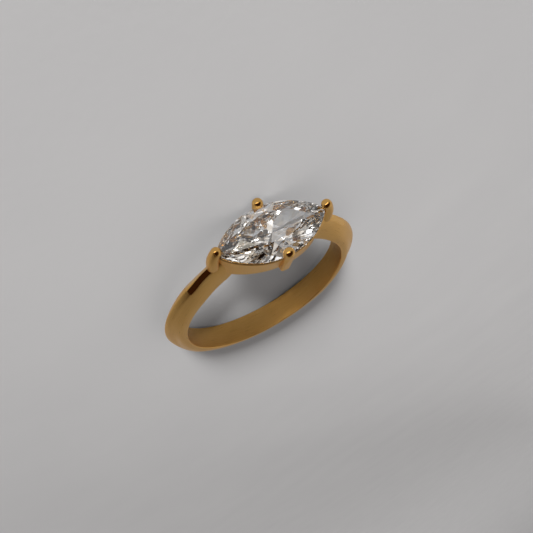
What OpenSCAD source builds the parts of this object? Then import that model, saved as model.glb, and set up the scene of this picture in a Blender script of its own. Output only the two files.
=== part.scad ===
// Marquise ring: a yellow gold band whose setting carries one long, pointed stone lengthwise across the finger.
// It lies on its side as it would by itself: the finger axis stands up, leaning by the angle at which it rests.
// Before the lean, X runs along the stone, Y from the finger's centre to the stone, Z along the finger.

/* [Band] */
// Radius of the finger hole
finger_r = 8.25; // [7.5:0.05:9]
// Thickness of the band at its left and right
band_t = 1.75; // [1.55:0.01:1.85]
// How far the band's outside is set off towards the stone, which thickens the shoulders
band_rise = 0.4; // [0.26:0.02:0.5]
// Half the band's width at its left and right
band_half = 1.07; // [0.9:0.01:1.2]
// Lean of each side face, which narrows the band towards the stone
side_lean = 1.6; // [0:0.1:2]
// Radius of the rounded flank of the band's section
flank_r = 1.9; // [1.7:0.05:2.4]

/* [Stone] */
// Length of the stone from point to point
stone_length = 10; // [9:0.1:11]
// Width of the stone across its belly
stone_width = 5; // [4.5:0.1:5.5]
// Height of the crown above the girdle
crown_h = 0.72; // [0.6:0.02:0.9]
// Depth of the pavilion below the girdle
pavilion_h = 2.1; // [1.8:0.05:2.15]
// Thickness of the girdle
girdle_t = 0.12; // [0.08:0.01:0.2]
// Size of the table as a share of the outline
table_share = 0.58; // [0.5:0.01:0.65]
// Height of the girdle's middle above the finger's centre
girdle_y = 10.6; // [10.5:0.05:11.2]

/* [Setting] */
// Height of the gallery wall
gallery_h = 1.82; // [1.5:0.02:1.9]
// Dark gap between the wall's top edge and the girdle's middle
gallery_gap = 0.18; // [0.12:0.01:0.25]
// How far the wall's top edge stands outside the stone's outline
gallery_proud = 0.03; // [0:0.01:0.1]
// How much the wall draws in from its top to its foot
gallery_draft = 0.28; // [0.22:0.01:0.4]
// How far the opening under the stone lies inside the outline
opening_inset = 0.75; // [0.65:0.01:0.9]
// Clearance between the stone and the metal
stone_gap = 0.03; // [0.02:0.01:0.06]
// Radius of a prong's post
post_r = 0.45; // [0.42:0.01:0.5]
// Radius of a prong's rounded tip
tip_r = 0.46; // [0.44:0.01:0.55]
// Height of the tips' middles above the girdle's middle
tip_h = 0.45; // [0.4:0.01:0.6]

/* [Hidden] */
$fn = 96;
big = 30;
small = 0.01;

// The outline is a lens, the overlap of two circles of this radius on either side of the middle
half_length = stone_length / 2;
half_width = stone_width / 2;
lens_r = (half_length * half_length + half_width * half_width) / (2 * half_width);
lens_c = lens_r - half_width;

// Levels, measured from the finger's centre
gallery_top = girdle_y - gallery_gap;
gallery_foot = gallery_top - gallery_h;
tip_y = girdle_y + tip_h;
table_y = girdle_y + girdle_t / 2 + crown_h;

// The side prongs stand at the belly and the point prongs just beyond the stone's points
side_tip_z = half_width + 0.02;
side_foot_z = side_tip_z - gallery_draft * 0.8;
point_tip_x = half_length + 0.02;
point_post_x = half_length + 0.28;
point_post_r = post_r * 1.1;
point_foot_y = gallery_foot + 0.45;
side_foot_y = gallery_foot + post_r;

// The band's rounded flanks start this far from their centre
foot_r = finger_r + 0.1;

// Where the ring rests: on the lower side prong's tip and on the edge of the hole farthest from the stone
edge_y = -finger_r;
edge_out = max(finger_r / cos(side_lean) + band_half * tan(side_lean) + band_rise - foot_r, 0);
edge_half = band_half - flank_r + sqrt(flank_r * flank_r - edge_out * edge_out);
edge_z = -(edge_half / cos(side_lean) + finger_r * tan(side_lean));
rest_run = [tip_y - edge_y, edge_z + side_tip_z];
rest_r = max(post_r, tip_r);
rest_lean = atan2(rest_run[1], rest_run[0]) + asin(rest_r / norm(rest_run));
rest_lift = -(edge_y * sin(rest_lean) + edge_z * cos(rest_lean));

// Middle of the resting ring's length, from the band's back to the lower side prong's tip
back_y = -(finger_r + band_t - band_rise) * cos(rest_lean);
front_y = tip_y * cos(rest_lean) + side_tip_z * sin(rest_lean) + rest_r;
rest_shift = -(back_y + front_y) / 2;

// Main facets as [turn of the tangent along the arc, side of the stone]; a turn of 90 is the point itself
MAINS = [[90, 1], [30, 1], [0, 1], [-30, 1], [-90, 1], [-30, -1], [0, -1], [30, -1]];
// Turns at which the two small girdle facets between one main facet and the next touch the outline
BREAKS = [[49, 38], [22, 8], [-8, -22], [-38, -49], [-49, -38], [-22, -8], [8, 22], [38, 49]];
// How far up the crown the star facets end, and how far down the pavilion the lower girdle facets end
star_rise = 0.45;
lower_drop = 0.7;

function is_point(m) = abs(m[0]) == 90;
function facing(m) = is_point(m) ? [sign(m[0]), 0, 0] : [sin(m[0]), m[1] * cos(m[0]), 0];
function along(m) = is_point(m) ? [0, 1, 0] : [cos(m[0]), -m[1] * sin(m[0]), 0];
function touch(m) = is_point(m)
    ? [sign(m[0]) * half_length, 0, 0]
    : [lens_r * sin(m[0]), m[1] * (lens_r * cos(m[0]) - lens_c), 0];
// Where the tangents of two main facets cross
function corner(m, n) =
    let (a = facing(m), b = facing(n), d = a * touch(m), e = b * touch(n), w = a[0] * b[1] - a[1] * b[0])
    [(d * b[1] - e * a[1]) / w, (a[0] * e - b[0] * d) / w, 0];
function between(p, q, share) = p + (q - p) * share;
// Plane through three points as [normal, distance], facing away from the stone's middle
function plane(p, q, r) =
    let (n = cross(q - p, r - p) / norm(cross(q - p, r - p)))
    n * p < 0 ? [-n, -(n * p)] : [n, n * p];
function up(h) = [0, 0, h];

// Planes of one face of the stone: mains to an apex, then pairs of girdle facets to a point on each ridge
function face_planes(level, apex, share) = [
    for (k = [0 : 7])
        let (m = MAINS[k], n = MAINS[(k + 1) % 8], top = up(apex))
        let (ridge = between(corner(m, n) + up(level), top, share))
        each [
            plane(touch(m) + up(level), touch(m) + along(m) + up(level), top),
            for (w = BREAKS[k])
                let (g = [w, k < 4 ? 1 : -1])
                plane(touch(g) + up(level), touch(g) + along(g) + up(level), ridge)
        ]
];
// Star facets between the table's corners and the ridges
function star_planes(level, apex, share, table) = [
    for (k = [0 : 7])
        let (m = MAINS[k], n = MAINS[(k + 1) % 8], top = up(apex))
        plane(
            between(touch(m) + up(level), top, table),
            between(touch(n) + up(level), top, table),
            between(corner(m, n) + up(level), top, share)
        )
];

// The space beyond a plane, which a facet takes away
module beyond(p) {
    rotate([0, acos(p[0][2]), atan2(p[0][1], p[0][0])])
        translate([-big, -big, p[1]])
            cube([2 * big, 2 * big, big]);
}

// A lens that stands along Y, with its own radius at its foot and at its top
module lens(foot_r, top_r, foot_y, top_y) {
    intersection_for (side = [-1, 1])
        translate([0, foot_y, side * lens_c])
            rotate([-90, 0, 0])
                cylinder(h = top_y - foot_y, r1 = foot_r, r2 = top_r);
}

// Half-round section with a narrow flat crown, drawn as radius and height
module band_section() {
    translate([finger_r - 1, -band_half])
        square([foot_r - finger_r + 1, 2 * band_half]);
    intersection() {
        translate([foot_r, flank_r - band_half])
            circle(flank_r);
        translate([foot_r, band_half - flank_r])
            circle(flank_r);
        translate([foot_r - small, -band_half])
            square([finger_r + band_t - foot_r + small, 2 * band_half]);
    }
}

// Each half of the band leans its own way, so the band narrows towards the stone
module band() {
    for (side = [0, 1])
        mirror([0, 0, side])
            intersection() {
                rotate([-side_lean, 0, 0])
                    translate([0, band_rise, 0])
                        rotate_extrude()
                            band_section();
                translate([-big, -big, 0])
                    cube([2 * big, 2 * big, big]);
            }
}

module gallery() {
    top_r = lens_r + gallery_proud;
    lens(top_r - gallery_draft, top_r, gallery_foot, gallery_top);
}

// A post with round ends, from its foot to its shoulder
module post(foot, shoulder, r) {
    run = shoulder - foot;
    translate(foot)
        rotate([0, acos(run[2] / norm(run)), atan2(run[1], run[0])])
            cylinder(h = norm(run), r = r);
    translate(foot)
        sphere(r);
    translate(shoulder)
        sphere(r);
}

module side_prong() {
    tip = [0, tip_y, side_tip_z];
    post([0, side_foot_y, side_foot_z], tip, post_r);
    translate(tip)
        sphere(tip_r);
}

// The post stands beyond the stone's point and its tip leans in over it
module point_prong() {
    shoulder = [point_post_x, girdle_y - 0.1, 0];
    tip = [point_tip_x, tip_y, 0];
    post([point_post_x, point_foot_y, 0], shoulder, point_post_r);
    post(shoulder, tip, post_r);
}

// Room for the stone: its girdle, and the slopes above and below it
module stone_seat() {
    rim_r = lens_r + stone_gap;
    rim_half = girdle_t / 2 + stone_gap;
    crown_top = table_y + stone_gap;
    seat_depth = pavilion_h * 0.6;
    lens(rim_r, rim_r, girdle_y - rim_half, girdle_y + rim_half);
    lens(rim_r, rim_r - crown_h, girdle_y + rim_half, crown_top);
    lens(rim_r - seat_depth * 0.8, rim_r, girdle_y - rim_half - seat_depth, girdle_y - rim_half);
}

// Open way from the finger hole up to the stone
module gallery_opening() {
    inner_r = lens_r - opening_inset;
    lens(inner_r, inner_r, finger_r * 0.6, table_y);
}

module finger_hole() {
    translate([0, 0, -big / 2])
        cylinder(h = big, r = finger_r);
}

// Lays the ring down on its side
module at_rest() {
    translate([0, rest_shift, rest_lift])
        rotate([rest_lean, 0, 0])
            children();
}

module ring_mount() {
    color("goldenrod")
        at_rest()
            difference() {
                union() {
                    band();
                    gallery();
                    for (side = [0, 1]) {
                        mirror([0, 0, side])
                            side_prong();
                        mirror([side, 0, 0])
                            point_prong();
                    }
                }
                finger_hole();
                gallery_opening();
                stone_seat();
            }
}

// A long brilliant: table, stars, mains and girdle facets over a pavilion of mains and girdle facets.
// Every face is flat and the stone is convex, so its hull is the stone itself.
module marquise_stone() {
    girdle = girdle_t / 2;
    crown_apex = girdle + crown_h / (1 - table_share);
    star_share = star_rise * (1 - table_share);
    color("aliceblue")
        at_rest()
            translate([0, girdle_y, 0])
                rotate([-90, 0, 0])
                    hull()
                        difference() {
                            intersection_for (side = [-1, 1])
                                translate([0, side * lens_c, -pavilion_h - girdle])
                                    cylinder(h = pavilion_h + 2 * girdle + crown_h, r = lens_r);
                            for (p = face_planes(girdle, crown_apex, star_share))
                                beyond(p);
                            for (p = star_planes(girdle, crown_apex, star_share, 1 - table_share))
                                beyond(p);
                            for (p = face_planes(-girdle, -girdle - pavilion_h, lower_drop))
                                beyond(p);
                        }
}

ring_mount();
marquise_stone();
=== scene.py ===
import math

import bmesh
import bpy
import numpy as np
from mathutils import Matrix, Vector


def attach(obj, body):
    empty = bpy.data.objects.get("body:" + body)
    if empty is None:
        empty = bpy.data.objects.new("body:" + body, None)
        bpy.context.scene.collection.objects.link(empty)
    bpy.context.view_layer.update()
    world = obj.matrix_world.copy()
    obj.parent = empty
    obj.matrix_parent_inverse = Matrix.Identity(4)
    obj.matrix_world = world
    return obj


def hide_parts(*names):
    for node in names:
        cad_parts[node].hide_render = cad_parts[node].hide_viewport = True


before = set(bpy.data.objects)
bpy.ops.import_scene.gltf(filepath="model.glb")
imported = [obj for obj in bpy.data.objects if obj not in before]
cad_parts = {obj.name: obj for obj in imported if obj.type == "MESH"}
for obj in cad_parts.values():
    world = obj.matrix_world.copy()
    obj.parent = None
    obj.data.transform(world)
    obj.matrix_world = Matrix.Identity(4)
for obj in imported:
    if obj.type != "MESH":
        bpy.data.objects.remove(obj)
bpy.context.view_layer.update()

# A yellow gold ring that carries one long pointed stone, lying on its side on a pale floor.
# Shapes are worked out in the ring's own frame, in millimetres: X along the stone, Y from the
# finger's centre to the stone, Z along the finger. lay_down() then puts them where the ring rests.
MM = 0.001

# The same named sizes as the CAD source
FINGER_R = 8.25
BAND_T = 1.75
BAND_RISE = 0.4
BAND_HALF = 1.07
SIDE_LEAN = math.radians(1.6)
FLANK_R = 1.9
FOOT_R = FINGER_R + 0.1
HALF_LENGTH = 5.0
HALF_WIDTH = 2.5
GALLERY_TOP = 10.42
GALLERY_FOOT = 8.6
OPENING_INSET = 0.75
TIP_Y = 11.05
TIP_R = 0.46
SIDE_TIP_Z = 2.52
POINT_TIP_X = 5.02

# The stone's outline is a lens, the overlap of two circles on either side of the middle
LENS_R = (HALF_LENGTH**2 + HALF_WIDTH**2) / (2 * HALF_WIDTH)
LENS_C = LENS_R - HALF_WIDTH

# Doubled points nearer than this, in metres, are merged, and edges sharper than this show as edges
MERGE_DISTANCE = 1e-7
SHARP_ANGLE = math.radians(38)

FULL_TURN = 2 * math.pi
QUARTER_TURN = math.pi / 2


def resting_place():
    """The lean, lift and shift of the resting ring. It rests on the lower side prong's tip and on the
    hole's far edge: the lean is the slope from that edge to the tip's middle plus the angle that the
    tip's radius adds, the lift brings the edge to the floor, and the shift centres the length."""
    out = FINGER_R / math.cos(SIDE_LEAN) + BAND_HALF * math.tan(SIDE_LEAN) + BAND_RISE - FOOT_R
    half = BAND_HALF - FLANK_R + math.sqrt(FLANK_R**2 - max(out, 0) ** 2)
    edge_z = -(half / math.cos(SIDE_LEAN) + FINGER_R * math.tan(SIDE_LEAN))
    run_y, run_z = TIP_Y + FINGER_R, edge_z + SIDE_TIP_Z
    lean = math.atan2(run_z, run_y) + math.asin(TIP_R / math.hypot(run_y, run_z))
    lift = FINGER_R * math.sin(lean) - edge_z * math.cos(lean)
    back = -(FINGER_R + BAND_T - BAND_RISE) * math.cos(lean)
    front = TIP_Y * math.cos(lean) + SIDE_TIP_Z * math.sin(lean) + TIP_R
    return lean, lift, -(back + front) / 2


LEAN, LIFT, SHIFT = resting_place()


def turn(p):
    """Turned by the lean about X: y cos - z sin, and y sin + z cos."""
    c, s = math.cos(LEAN), math.sin(LEAN)
    p = np.asarray(p, float)
    return np.stack([p[..., 0], p[..., 1] * c - p[..., 2] * s, p[..., 1] * s + p[..., 2] * c], -1)


def lay_down(p):
    """Points of the ring's own frame in millimetres, put where the ring rests, in metres."""
    return (turn(p) + [0, SHIFT, LIFT]) * MM


def smooth(x, low, high):
    """0 below low, 1 above high, and 3t^2 - 2t^3 between them."""
    t = np.clip((np.asarray(x, float) - low) / (high - low), 0, 1)
    return t * t * (3 - 2 * t)


def mixed(first, second, share):
    """The first where share is 0, the second where it is 1."""
    return first * (1 - share) + second * share


def path_length(points):
    """Length along a row of points up to each of them, starting with 0."""
    steps = np.linalg.norm(np.diff(points, axis=0), axis=1)
    return np.concatenate([[0], np.cumsum(steps)])


def closed(points):
    """A row of points with the first one added at the end."""
    return np.concatenate([points, points[:1]])


def shade_smooth(mesh):
    """Every face of the mesh is shaded smooth."""
    mesh.polygons.foreach_set("use_smooth", [True] * len(mesh.polygons))


def linked(name, data):
    """A new object with the given data, in the scene."""
    obj = bpy.data.objects.new(name, data)
    bpy.context.scene.collection.objects.link(obj)
    return obj


def surface(name, p, uv, polish, wrap=(True, True)):
    """A mesh over a grid of points. p is (rows, columns, 3) in the ring's frame. A wrapped direction
    closes on itself, and there uv, (rows + 1, columns + 1, 2) in millimetres, holds one more line than p.
    polish, from 0 for satin to 1 for mirror, is stored on the points. Doubled points at poles are merged,
    open ends are closed, and the faces are turned outwards."""
    rows, cols = p.shape[:2]
    i, j = np.meshgrid(
        np.arange(rows if wrap[0] else rows - 1), np.arange(cols if wrap[1] else cols - 1), indexing="ij"
    )
    i, j = i.ravel(), j.ravel()
    corners = [(i, j), (i + 1, j), (i + 1, j + 1), (i, j + 1)]
    quads = np.stack([(a % rows) * cols + (b % cols) for a, b in corners], 1)
    spots = np.stack([uv[a, b] for a, b in corners], 1).reshape(-1, 2)
    mesh = bpy.data.meshes.new(name)
    mesh.from_pydata(lay_down(p.reshape(-1, 3)), [], quads)
    mesh.uv_layers.new(name="surface_mm").data.foreach_set("uv", spots.astype(np.float32).ravel())
    shine = mesh.attributes.new("polish", "FLOAT", "POINT")
    shine.data.foreach_set("value", np.broadcast_to(polish, p.shape[:2]).astype(np.float32).ravel())
    bm = bmesh.new()
    bm.from_mesh(mesh)
    bmesh.ops.remove_doubles(bm, verts=bm.verts, dist=MERGE_DISTANCE)
    rims = [e for e in bm.edges if e.is_boundary]
    if rims:
        bmesh.ops.holes_fill(bm, edges=rims)
    bmesh.ops.recalc_face_normals(bm, faces=bm.faces)
    bm.to_mesh(mesh)
    bm.free()
    shade_smooth(mesh)
    return linked(name, mesh)


def cut(obj, tool):
    """Takes the closed shape tool away from obj, and keeps the result as obj's own mesh."""
    step = obj.modifiers.new("cut", "BOOLEAN")
    step.operation, step.solver, step.object = "DIFFERENCE", "EXACT", tool
    graph = bpy.context.evaluated_depsgraph_get()
    mesh = bpy.data.meshes.new_from_object(obj.evaluated_get(graph))
    obj.modifiers.remove(step)
    obj.data = mesh
    shade_smooth(mesh)
    mesh.set_sharp_from_angle(angle=SHARP_ANGLE)


def outline(grow, count=96):
    """The lens outline grown by grow, as (x, z) once round, with count points a side. Each side is the
    arc x = R sin t, z = R cos t - c with R = LENS_R + grow, and t runs between the lens's two points."""
    r = LENS_R + np.atleast_1d(np.asarray(grow, float))
    end = np.arccos(LENS_C / r)
    t = np.linspace(-1, 1, count + 1)[:-1, None] * end
    x = np.concatenate([r * np.sin(t), -r * np.sin(t)])
    z = np.concatenate([r * np.cos(t) - LENS_C, LENS_C - r * np.cos(t)])
    return x, z


def lens_solid(name, levels):
    """A closed lens whose (grow, height) levels are joined by straight walls."""
    grow, height = np.array(levels, float).T
    x, z = outline(grow, 64)
    p = np.stack([x, np.broadcast_to(height, x.shape), z], -1)
    uv = np.zeros((p.shape[0] + 1, p.shape[1] + 1, 2))
    return surface(name, p, uv, 0.0, wrap=(True, False))


# Band: places round it are angles from the head, here in degrees. The facets on the shoulders start
# under the point prongs and end at FACET_END, where they fade over FACET_FADE on either side.
FACET_START = (27, 30)
POLISH_START = (31, 33)
FACET_END = 47.5
FACET_FADE = 0.8
PLAIN_BACK = (92, 128)

# The rounded edge of the hole, and where the sides start to curve
CORNER = 0.09
SIDE_START = FINGER_R + 0.3

# The facet's fall for each millimetre across it, and how much the land curves down at its edge
FACET_FALL = 0.95
LAND_DROP = 0.015

# Radius at which the fine lines keep their true length round the band
LINES_R = 9.2


def crown_radius(a):
    """Distance from the finger's centre to the ridge: the circle of radius FINGER_R + BAND_T that is
    set off by BAND_RISE, and a little fuller on the shoulders, most of all beside the head."""
    r = FINGER_R + BAND_T
    deg = np.degrees(a)
    fuller = 0.17 * (1 - smooth(deg, 38, 66)) + 0.3 * (1 - smooth(deg, 30, 45))
    return BAND_RISE * np.cos(a) + np.sqrt(r * r - (BAND_RISE * np.sin(a)) ** 2) + fuller


def half_width(a):
    """Half the band's width at the middle of its wall, less a trim of 0.02 mm: it narrows steadily
    towards the head, and pinches in by 0.2 mm where it meets it."""
    middle_r = FINGER_R + 0.9
    y = middle_r * np.cos(a)
    return BAND_HALF - y * math.tan(SIDE_LEAN) - 0.2 * smooth(y, 5.4, 8.0) - 0.02


def lean_in(a, r):
    """Share by which the band is narrower at the radius r: its sides lean in at the back."""
    return 1 - smooth(np.degrees(a), 115, 165) * (0.028 + 0.075 * (r - FINGER_R))


def bezier(points, t):
    """Cubic curve through the first and last of four points, each an array (rows, 2)."""
    a, b, c, d = (q[:, None, :] for q in points)
    t = t[None, :, None]
    return a * (1 - t) ** 3 + 3 * b * t * (1 - t) ** 2 + 3 * c * t * t * (1 - t) + d * t**3


def band():
    """The band as a section carried once round the finger. Half of the section runs from the middle of
    the inside, round a small corner, up the side and over to the ridge, and the other half mirrors it.
    The side is a cubic curve from the corner to a crease line. From there to the ridge the section is a
    soft cubic curve. On the shoulders, outside the prong, it is a flat polished facet from the crease to a
    narrow land that curves over the ridge, and this land widens away from the head. At the back the whole
    outside is half of an ellipse."""
    extra = np.radians(np.linspace(-1.5, 1.5, 21))
    ends = [math.radians(FACET_END), FULL_TURN - math.radians(FACET_END)]
    a = np.linspace(0, FULL_TURN, 541)[:-1]
    a = np.unique(np.concatenate([a] + [e + extra for e in ends]))
    off = np.minimum(a, FULL_TURN - a)
    deg = np.degrees(off)
    zero = np.zeros_like(a)
    top, wide = crown_radius(off), half_width(off)
    facet = 1 - smooth(deg, FACET_END - FACET_FADE, FACET_END + FACET_FADE)
    facet = facet * smooth(deg, *FACET_START)

    # The inside and its corner, as (distance from the middle, radius)
    inner_z = np.outer(wide - CORNER, np.linspace(0, 1, 5)[:-1])
    inner = np.stack([inner_z, np.full_like(inner_z, FINGER_R)], -1)
    q = np.linspace(0, QUARTER_TURN, 7)
    corner_z = (wide - CORNER)[:, None] + CORNER * np.sin(q)
    corner_r = np.broadcast_to(FINGER_R + CORNER - CORNER * np.cos(q), corner_z.shape)
    corner = np.stack([corner_z, corner_r], -1)

    # The land's edge, the crease and the ridge
    widening = smooth(deg, 34, FACET_END)
    land = 0.02 + 0.09 * widening - 0.11 * smooth(deg, 50, 80)
    crease_z = 0.36 + 0.11 * widening - 0.05 * smooth(deg, 60, 110)
    crease_r = top - FACET_FALL * (crease_z - land)
    land_edge = np.stack([land, top - LAND_DROP], 1)
    ridge = np.stack([zero, top], 1)

    # At the back the crease is a point of the ellipse, turned on from the ridge by 40 degrees. The
    # curves' handles there are the usual shares of the half axes for arcs of 50 and 40 degrees.
    plain = smooth(deg, *PLAIN_BACK)[:, None]
    turn_on = math.radians(40)
    side_handle, top_handle = 0.296, 0.235
    high = top - SIDE_START
    on_ellipse = np.stack([wide * math.sin(turn_on), SIDE_START + high * math.cos(turn_on)], 1)
    heading = np.stack([wide * math.cos(turn_on), -high * math.sin(turn_on)], 1)
    crease = mixed(np.stack([crease_z, crease_r], 1), on_ellipse, plain)
    below_crease = mixed(np.array([0.24, -0.5]), side_handle * heading, plain)
    above_crease = mixed(np.array([0.072, -0.15]), top_handle * heading, plain)
    beside_ridge = mixed(np.array([0.16, -0.03]), top_handle * np.stack([wide, zero], 1), plain)
    rise = mixed(0.55, side_handle * high, plain[:, 0])

    # The side, and the two forms of the top, at these shares of their length
    side_share = np.linspace(0, 1, 17)[1:]
    round_share = np.array([0.03, 0.1, 0.25, 0.42, 0.6, 0.78, 0.9, 0.97, 1.0])
    facet_share = np.array([0.03, 0.12, 0.4, 0.7, 0.95, 1.0])[:, None]
    land_share = np.array([0.2, 0.6, 1.0])
    side_foot = np.stack([wide, zero + SIDE_START], 1)
    side_bend = np.stack([wide, SIDE_START + rise], 1)
    side = bezier([side_foot, side_bend, crease + below_crease, crease], side_share)
    slope = mixed(crease[:, None], land_edge[:, None], facet_share)
    curl_r = top[:, None] - LAND_DROP * (1 - land_share) ** 2
    curl = np.stack([np.outer(land, 1 - land_share), curl_r], -1)
    flat_top = np.concatenate([slope, curl], 1)
    round_top = bezier([crease, crease - above_crease, ridge + beside_ridge, ridge], round_share)
    outer_top = mixed(round_top, flat_top, facet[:, None, None])
    half = np.concatenate([inner, corner, side, outer_top], 1)
    mirrored = half[:, -2:0:-1] * [-1, 1]
    loop = np.concatenate([half, mirrored], 1)

    r = loop[..., 1]
    z = loop[..., 0] * lean_in(off[:, None], r)
    p = np.stack([-r * np.sin(a)[:, None], r * np.cos(a)[:, None], z], -1)
    v = np.stack([path_length(closed(section)) for section in loop])
    v = closed(v)
    u = np.broadcast_to(np.append(a, FULL_TURN)[:, None] * LINES_R, v.shape)
    before_facet = inner.shape[1] + corner.shape[1] + side.shape[1]
    facet_columns = before_facet + np.arange(len(facet_share))
    on_facet = np.zeros(loop.shape[1])
    on_facet[facet_columns] = 1
    on_facet[2 * half.shape[1] - 2 - facet_columns] = 1
    polish = (facet * smooth(deg, *POLISH_START))[:, None] * on_facet
    return surface("ring_band", p, np.stack([u, v], -1), polish)


def gallery_wall():
    """The wall round the stone as a profile carried along the lens outline. The profile goes up the
    outside, which leans out by 0.26 mm, over a rounded edge, into a fine groove, out to the thin rail
    under the stone, down the seat and down the inside. Towards the foot the wall gets longer by up to
    4.5 percent, and it dips by 0.036 x^2 with the finger's curve."""
    foot, top, inset = GALLERY_FOOT, GALLERY_TOP, OPENING_INSET
    rise = np.linspace(0, 1, 12)
    outside = np.stack([-0.25 + 0.26 * rise**1.15, foot + 0.05 + (top - 0.2 - foot) * rise], 1)
    edge = [(-0.003, top - 0.137), (-0.035, top - 0.13)]
    groove = [(-0.11, top - 0.12), (-0.13, top - 0.095), (-0.13, top - 0.045), (-0.11, top - 0.022)]
    rail = [(-0.02, top - 0.018), (0.045, top - 0.008), (0.065, top + 0.02), (0.06, top + 0.06)]
    lip = [(0.03, top + 0.095), (0.01, top + 0.105), (-0.012, top + 0.1)]
    seat_top = [(-0.03, top + 0.08), (-0.12, top), (-0.19, top - 0.08)]
    seat_foot = [(-0.4, top - 0.3), (-0.68, top - 0.55), (-inset, top - 0.64)]
    inside = [(-inset, foot + 1.0), (-inset, foot + 0.05), (-inset + 0.05, foot)]
    under = [(-0.5, foot), (-0.32, foot), (-0.265, foot + 0.015)]
    profile = np.concatenate([outside, edge, groove, rail, lip, seat_top, seat_foot, inside, under])
    grow, height = profile.T
    x, z = outline(grow)
    low = (top - 0.145 - height).clip(0) / (top - foot)
    p = np.stack([x * (1 + 0.045 * low), height - 0.036 * x * x * low, z], -1)

    # The fine lines run up the wall. They are drawn out along it, and its length is taken halfway up.
    halfway, drawn_out = 5, 0.45
    along = path_length(closed(p[:, halfway]))
    up = path_length(closed(profile))
    uv = np.stack(np.broadcast_arrays(up[None, :], drawn_out * along[:, None]), -1)
    polish = np.zeros(len(profile))
    polish[len(outside):] = 0.8
    return surface("gallery_wall", p, uv, polish[None, :])


def prong(name, spine, radii, squareness, foot_flat):
    """A prong as a section carried along a bent spine, with its tip closed as a slightly flattened ball.
    spine is foot, bend and tip of a quadratic curve; radii are at the foot and at the tip. The section
    is |x|^n + |y|^n = 1 with n falling from squareness at the foot to 2 at the tip. The foot is a ball,
    or flat with a small rounded edge. The last tenth of the length is polished."""
    foot, bend, tip = (np.array(q, float) for q in spine)
    foot_edge, flattening, polished_from = 0.07, 0.8, 0.9
    t = np.linspace(0, 1, 29)
    line = np.outer((1 - t) ** 2, foot) + np.outer(2 * t * (1 - t), bend) + np.outer(t * t, tip)
    tangent = np.outer(2 * (1 - t), bend - foot) + np.outer(2 * t, tip - bend)
    tangent /= np.linalg.norm(tangent, axis=1)[:, None]
    size = radii[0] + (radii[1] - radii[0]) * smooth(t, 0.25, 1)
    power = 2 + (squareness - 2) * (1 - smooth(t, 0.35, 0.8))

    # Both closed ends, as (distance past the spine's end, share of the radius)
    cap = np.linspace(0, QUARTER_TURN, 13)
    if foot_flat:
        q = np.linspace(0, QUARTER_TURN, 7)
        rim = np.stack([-foot_edge * np.cos(q), 1 - foot_edge / size[0] * (1 - np.sin(q))], 1)
        below = np.concatenate([[(-foot_edge, 0.0), (-foot_edge, 0.5)], rim])
    else:
        below = np.stack([-size[0] * np.cos(cap[:-1]), np.sin(cap[:-1])], 1)
    above = np.stack([size[-1] * np.sin(cap[1:]) ** flattening, np.cos(cap[1:]) ** flattening], 1)

    first, last = tangent[:1], tangent[-1:]
    centre = np.concatenate([foot + below[:, :1] * first, line, tip + above[:, :1] * last])
    ring_r = np.concatenate([below[:, 1] * size[0], size, above[:, 1] * size[-1]])
    ring_n = np.concatenate([np.full(len(below), power[0]), power, np.full(len(above), 2.0)])
    axis = np.concatenate([np.repeat(first, len(below), 0), tangent, np.repeat(last, len(above), 0)])
    at_a_point = abs(tip[2]) < 1
    side = np.cross(axis, [0, 0, 1.0]) if at_a_point else np.broadcast_to([1.0, 0, 0], axis.shape)
    side = side / np.linalg.norm(side, axis=1)[:, None]
    other = np.cross(axis, side)
    phi = np.linspace(0, FULL_TURN, 49)[:-1]
    c, s = np.cos(phi)[None, :], np.sin(phi)[None, :]
    n = ring_n[:, None]
    reach = ring_r[:, None] / (np.abs(c) ** n + np.abs(s) ** n) ** (1 / n)
    across = (reach * c)[..., None] * side[:, None, :] + (reach * s)[..., None] * other[:, None, :]
    p = centre[:, None, :] + across
    length = path_length(centre)
    girth = np.linspace(0, 3.3, 49)
    uv = np.stack(np.broadcast_arrays(length[:, None], girth[None, :]), -1)
    polish = smooth(length / length[-1], polished_from, polished_from + 0.04)
    return surface(name, p, uv, polish[:, None], wrap=(False, True))


def grown_stone(stone, factors):
    """A closed copy of the stone, grown about its middle by the factors along X, Y and Z."""
    bm = bmesh.new()
    bm.from_mesh(stone.data)
    bmesh.ops.remove_doubles(bm, verts=bm.verts, dist=1e-6)
    middle = sum((v.co for v in bm.verts), Vector()) / len(bm.verts)
    bmesh.ops.translate(bm, verts=bm.verts, vec=-middle)
    bmesh.ops.scale(bm, verts=bm.verts, vec=factors)
    bmesh.ops.translate(bm, verts=bm.verts, vec=middle)
    mesh = bpy.data.meshes.new("room_for_stone")
    bm.to_mesh(mesh)
    bm.free()
    return linked("room_for_stone", mesh)


# Sockets of a colour Mix node: its share, its two colours and its result
SHARE, COLOUR_A, COLOUR_B, RESULT = 0, 6, 7, 2


def node(tree, kind, **settings):
    """A shader node with its settings."""
    n = tree.nodes.new(kind)
    for key, value in settings.items():
        setattr(n, key, value)
    return n


def noise(tree, place, scale, detail=2.0):
    """A noise pattern over the coordinates place, as a socket."""
    n = node(tree, "ShaderNodeTexNoise")
    n.inputs["Scale"].default_value = scale
    n.inputs["Detail"].default_value = detail
    tree.links.new(place, n.inputs["Vector"])
    return n.outputs[0]


def remap(tree, value, span, target, kind="LINEAR"):
    """The socket value, with span mapped to target and held at its ends."""
    n = node(tree, "ShaderNodeMapRange", interpolation_type=kind)
    n.inputs["From Min"].default_value, n.inputs["From Max"].default_value = span
    n.inputs["To Min"].default_value, n.inputs["To Max"].default_value = target
    tree.links.new(value, n.inputs[0])
    return n.outputs[0]


def combine(tree, operation, *values):
    """The result of a Math node, where each value is a number or a socket."""
    n = node(tree, "ShaderNodeMath", operation=operation)
    for socket, value in zip(n.inputs, values):
        if isinstance(value, float):
            socket.default_value = value
        else:
            tree.links.new(value, socket)
    return n.outputs[0]


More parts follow.
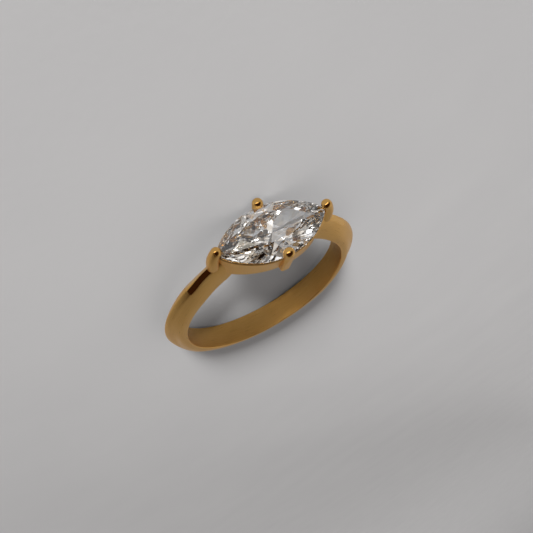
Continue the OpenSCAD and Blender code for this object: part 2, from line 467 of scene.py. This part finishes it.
def blend(tree, share, below, above):
    """A mix of two colours, each a colour or a socket, by a share."""
    mix = node(tree, "ShaderNodeMix", data_type="RGBA")
    tree.links.new(share, mix.inputs[SHARE])
    for slot, colour in ((COLOUR_A, below), (COLOUR_B, above)):
        if isinstance(colour, tuple):
            mix.inputs[slot].default_value = (*colour, 1)
        else:
            tree.links.new(colour, mix.inputs[slot])
    return mix.outputs[RESULT]


def relief(tree, shader, height, distance, strength):
    """Gives the shader a bump of the height pattern. strength is a number or a socket."""
    bump = node(tree, "ShaderNodeBump")
    bump.inputs["Distance"].default_value = distance
    if isinstance(strength, float):
        bump.inputs["Strength"].default_value = strength
    else:
        tree.links.new(strength, bump.inputs["Strength"])
    tree.links.new(height, bump.inputs["Height"])
    tree.links.new(bump.outputs[0], shader.inputs["Normal"])


def new_material(name):
    """A material with its node tree and its shader."""
    mat = bpy.data.materials.new(name)
    mat.use_nodes = True
    return mat, mat.node_tree, mat.node_tree.nodes["Principled BSDF"]


def yellow_gold():
    """Gold that is satin where polish is 0 and mirror-bright where it is 1. Fine lines run along the
    u direction of the surface, and they move the roughness, the tone and the relief a little."""
    mat, tree, shader = new_material("yellow_gold")
    link = tree.links.new
    shader.inputs["Metallic"].default_value = 1.0
    spread_out = node(tree, "ShaderNodeMapping")
    spread_out.inputs["Scale"].default_value = (0.35, 9.0, 1.0)
    link(node(tree, "ShaderNodeUVMap", uv_map="surface_mm").outputs[0], spread_out.inputs[0])
    lines = noise(tree, spread_out.outputs[0], 1.6, 5.0)
    cloud = noise(tree, node(tree, "ShaderNodeTexCoord").outputs["Object"], 420.0, 3.0)
    polish = node(tree, "ShaderNodeAttribute", attribute_name="polish").outputs["Fac"]

    rough = node(tree, "ShaderNodeMix")
    link(polish, rough.inputs["Factor"])
    link(remap(tree, lines, (0.3, 0.7), (0.26, 0.5)), rough.inputs["A"])
    link(remap(tree, cloud, (0.0, 1.0), (0.05, 0.13)), rough.inputs["B"])
    link(rough.outputs["Result"], shader.inputs["Roughness"])

    grain = combine(tree, "MULTIPLY_ADD", lines, 3.0, -1.5)
    tone = blend(tree, combine(tree, "ADD", grain, cloud), (0.79, 0.44, 0.12), (0.87, 0.53, 0.175))
    link(tone, shader.inputs["Base Color"])
    relief(tree, shader, lines, 0.00003, combine(tree, "MULTIPLY_ADD", polish, -0.32, 0.35))
    return mat


def clear_stone():
    """Clear cut stone: glass that bends light as strongly as diamond, with the faintest unevenness in its
    polish. Small patches of warm and cool tint are painted colour flashes, standing in for the light that
    a diamond splits into colours."""
    mat, tree, shader = new_material("clear_stone")
    link = tree.links.new
    shader.inputs["Transmission Weight"].default_value = 1.0
    shader.inputs["IOR"].default_value = 2.42
    place = node(tree, "ShaderNodeTexCoord").outputs["Object"]
    # Painted colour flashes: warm and cool tints in small patches stand in for the stone's split light
    painted_flash_cells = node(tree, "ShaderNodeTexVoronoi")
    painted_flash_cells.inputs["Scale"].default_value = 1500.0
    link(place, painted_flash_cells.inputs["Vector"])
    tone = node(tree, "ShaderNodeValToRGB")
    tone.color_ramp.elements[0].color = (0.84, 0.91, 1.0, 1)
    tone.color_ramp.elements[1].color = (1.0, 0.94, 0.84, 1)
    link(painted_flash_cells.outputs["Color"], tone.inputs[0])
    link(tone.outputs[0], shader.inputs["Base Color"])
    haze = noise(tree, place, 700.0)
    link(remap(tree, haze, (0.0, 1.0), (0.0, 0.02)), shader.inputs["Roughness"])
    return mat


def pale_paper():
    """Matt pale paper with a faint cloudiness and a very fine tooth. Its colour also holds painted shade.
    It is a little greyer to the left of the ring's back, for light falling off there. It is darker far in
    front of the ring and where it bends up behind it, to offset the stronger lamp light on those parts."""
    mat, tree, shader = new_material("pale_paper")
    link = tree.links.new
    shader.inputs["Roughness"].default_value = 0.85
    shader.inputs["Specular IOR Level"].default_value = 0.2
    place = node(tree, "ShaderNodeTexCoord").outputs["Object"]
    tone = blend(tree, noise(tree, place, 60.0, 4.0), (0.66, 0.655, 0.66), (0.72, 0.715, 0.715))

    # Painted shade: greyer to the left of the ring's back, and darker far in front and up the bend, where
    # the lamp lights the paper more strongly
    across = node(tree, "ShaderNodeVectorMath", operation="DOT_PRODUCT")
    across.inputs[1].default_value = (-0.8, -0.6, 0.0)
    link(place, across.inputs[0])
    left = remap(tree, across.outputs["Value"], (-0.01, 0.055), (1.0, 0.84), "SMOOTHSTEP")
    parts = node(tree, "ShaderNodeSeparateXYZ")
    link(place, parts.inputs[0])
    front = remap(tree, parts.outputs["Y"], (0.08, 0.52), (1.0, 0.55), "SMOOTHSTEP")
    raised = remap(tree, parts.outputs["Z"], (0.0, 0.3), (1.0, 0.55), "SMOOTHSTEP")
    painted_shade = combine(tree, "MULTIPLY", left, combine(tree, "MULTIPLY", front, raised))
    graded = node(tree, "ShaderNodeVectorMath", operation="SCALE")
    link(tone, graded.inputs[0])
    link(painted_shade, graded.inputs["Scale"])
    link(graded.outputs[0], shader.inputs["Base Color"])
    relief(tree, shader, noise(tree, place, 1500.0, 4.0), 0.000015, 0.25)
    return mat


def floor_sweep():
    """The floor as one sheet, in metres: level around the ring, and behind it bent up. Its slope there is
    85 degrees times t^1.5, where t is the share of the bent length, so the bend starts without a line."""
    front, bend_start, bent_length, half_across = 0.6, -0.1, 2.4, 1.2
    flat = np.stack([np.linspace(front, bend_start, 12), np.zeros(12)], 1)
    slope = math.radians(85) * np.linspace(0, 1, 101)[1:] ** 1.5
    run = bent_length / len(slope)
    bend = np.stack([bend_start - run * np.cumsum(np.cos(slope)), run * np.cumsum(np.sin(slope))], 1)
    line = np.concatenate([flat, bend])
    across = np.linspace(-half_across, half_across, 13)
    x, k = np.meshgrid(across, np.arange(len(line)), indexing="ij")
    p = np.stack([x, line[k, 0], line[k, 1]], -1)
    rows, cols = p.shape[:2]
    i, j = (g.ravel() for g in np.meshgrid(np.arange(rows - 1), np.arange(cols - 1), indexing="ij"))
    quads = np.stack([i * cols + j, i * cols + j + 1, (i + 1) * cols + j + 1, (i + 1) * cols + j], 1)
    mesh = bpy.data.meshes.new("floor")
    mesh.from_pydata(p.reshape(-1, 3), [], quads)
    shade_smooth(mesh)
    return linked("floor", mesh)


def photo_camera():
    """The camera at the photograph's angle, given in the ring's own frame and laid down with it."""
    right = turn((0.868367, 0.083961, 0.488763))
    down = turn((-0.399166, -0.466514, 0.789323))
    forward = turn((0.294287, -0.880520, -0.371591))
    place = lay_down((-14.9152, 49.3109, 18.8864))
    photo_width, focal_length = 533, 576
    lens = bpy.data.cameras.new("camera")
    lens.sensor_width = 36.0
    lens.lens = lens.sensor_width * focal_length / photo_width
    lens.clip_start, lens.clip_end = 0.001, 10.0
    camera = linked("camera", lens)
    pose = Matrix(np.stack([right, -down, -forward], 1).tolist()).to_4x4()
    pose.translation = Vector(place)
    camera.matrix_world = pose
    bpy.context.scene.camera = camera


def soft_light(name, direction, distance, size, power):
    """A square area light that looks at the ring from the given direction. Neither the camera nor what
    shines mirrors the light itself."""
    lamp = bpy.data.lights.new(name, "AREA")
    lamp.energy, lamp.size = power, size
    obj = linked(name, lamp)
    away = Vector(direction).normalized()
    obj.location = away * distance
    obj.rotation_mode = "QUATERNION"
    obj.rotation_quaternion = away.to_track_quat("Z", "Y")
    obj.visible_glossy = obj.visible_camera = False


def pool(tree, where, aim, near, far):
    """A soft round pool of directions about aim: 1 where the cosine is above near, 0 below far."""
    dot = node(tree, "ShaderNodeVectorMath", operation="DOT_PRODUCT")
    dot.inputs[1].default_value = Vector(aim).normalized()
    tree.links.new(where, dot.inputs[0])
    return remap(tree, dot.outputs["Value"], (far, near), (0.0, 1.0), "SMOOTHSTEP")


def room():
    """The room's light by direction. Metal sees it pale to the right and dimmer behind the ring, and dark
    overhead and towards the camera, as an unlit ceiling would be, with one bright window low in front.
    What the stone lets through is patchy, pale windows between darker walls, and the floor gets a weak
    even share."""
    grey_wall, pale_wall = (0.28, 0.28, 0.28), (0.52, 0.51, 0.50)
    dark_ceiling, bright_window = (0.03, 0.013, 0.008), (3.0, 2.8, 2.4)
    even_share, behind_the_floor = (0.235, 0.225, 0.22), (0.42, 0.42, 0.425)
    world = bpy.data.worlds.new("room")
    bpy.context.scene.world = world
    world.use_nodes = True
    tree = world.node_tree
    where = node(tree, "ShaderNodeTexCoord").outputs["Generated"]
    gold_sees = blend(tree, pool(tree, where, (0.95, 0.0, 0.3), 0.95, 0.2), grey_wall, pale_wall)
    for aim, near, far in (
        ((-0.294, 0.82, 0.46), 0.65, 0.10),
        ((-0.5, 0.45, 0.74), 0.90, 0.60),
        ((-0.55, -0.02, 0.83), 0.96, 0.76),
    ):
        gold_sees = blend(tree, pool(tree, where, aim, near, far), gold_sees, dark_ceiling)
    in_front = pool(tree, where, (-0.3, 0.95, 0.05), 0.93, 0.80)
    low_down = pool(tree, where, (0, 0, -1), -0.12, -0.2)
    gold_sees = blend(tree, combine(tree, "MULTIPLY", in_front, low_down), gold_sees, bright_window)

    patches = node(tree, "ShaderNodeTexNoise", noise_dimensions="4D")
    patches.inputs["W"].default_value = 2.0
    patches.inputs["Scale"].default_value = 2.6
    patches.inputs["Detail"].default_value = 2.0
    windows = node(tree, "ShaderNodeValToRGB")
    ramp = windows.color_ramp.elements
    ramp[0].position, ramp[0].color = 0.43, (0.07, 0.063, 0.056, 1)
    ramp[1].position, ramp[1].color = 0.62, (1.85, 1.84, 1.86, 1)
    ramp.new(0.51).color = (0.60, 0.52, 0.43, 1)
    tree.links.new(where, patches.inputs["Vector"])
    tree.links.new(patches.outputs[0], windows.inputs[0])
    path = node(tree, "ShaderNodeLightPath").outputs
    seen = blend(tree, path["Is Glossy Ray"], even_share, gold_sees)
    seen = blend(tree, path["Is Transmission Ray"], seen, windows.outputs[0])
    seen = blend(tree, path["Is Camera Ray"], seen, behind_the_floor)
    tree.links.new(seen, tree.nodes["Background"].inputs["Color"])


photo_camera()
gold = yellow_gold()
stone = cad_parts["marquise_stone"]
stone.data.materials.clear()
stone.data.materials.append(clear_stone())

point_prong = {"radii": (0.50, 0.45), "squareness": 2.2, "foot_flat": False}
side_prong = {"radii": (0.41, TIP_R), "squareness": 5.0, "foot_flat": True}
ring_band = band()
wall = gallery_wall()
prongs = [
    prong("prong_left", [(-5.27, 9.14, 0), (-5.36, 10.45, 0), (-POINT_TIP_X, TIP_Y, 0)], **point_prong),
    prong("prong_right", [(5.27, 9.14, 0), (5.36, 10.45, 0), (POINT_TIP_X, TIP_Y, 0)], **point_prong),
    prong("prong_near", [(-0.04, 8.6, 2.25), (0, 10.2, 2.42), (0, TIP_Y, SIDE_TIP_Z)], **side_prong),
    prong("prong_far", [(0.04, 8.6, -2.25), (0, 10.2, -2.42), (0, TIP_Y, -SIDE_TIP_Z)], **side_prong),
]
pieces = [ring_band, wall] + prongs

# The prongs are notched for the stone, and the band is open under it, with ends that slant to the hole.
# The tools' levels are (growth of the stone's outline, height), and they end above every prong.
ABOVE_ALL = 11.6
stone_tool = grown_stone(stone, (1.006, 1.02, 1.012))
opening_tool = lens_solid("opening_tool", [(-OPENING_INSET, FINGER_R * 0.6), (-OPENING_INSET, ABOVE_ALL)])
slant_tool = lens_solid(
    "slant_tool", [(0.5, 6.0), (-0.05, 7.0), (-OPENING_INSET, 8.2), (-OPENING_INSET, ABOVE_ALL)]
)
bpy.context.view_layer.update()
for piece in prongs:
    cut(piece, stone_tool)
    cut(piece, opening_tool)
cut(ring_band, slant_tool)
for tool in (stone_tool, opening_tool, slant_tool):
    bpy.data.objects.remove(tool)

for piece in pieces:
    piece.data.materials.clear()
    piece.data.materials.append(gold)
    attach(piece, "root")
    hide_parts("ring_mount")

floor = floor_sweep()
floor.data.materials.append(pale_paper())
soft_light("window_light", (-0.25, 0.94, 0.20), distance=3.0, size=0.55, power=206.0)
room()
scene = bpy.context.scene
scene.view_settings.view_transform = "Standard"
scene.cycles.max_bounces = 24
scene.cycles.glossy_bounces = scene.cycles.transmission_bounces = 12
scene.cycles.caustics_reflective = False
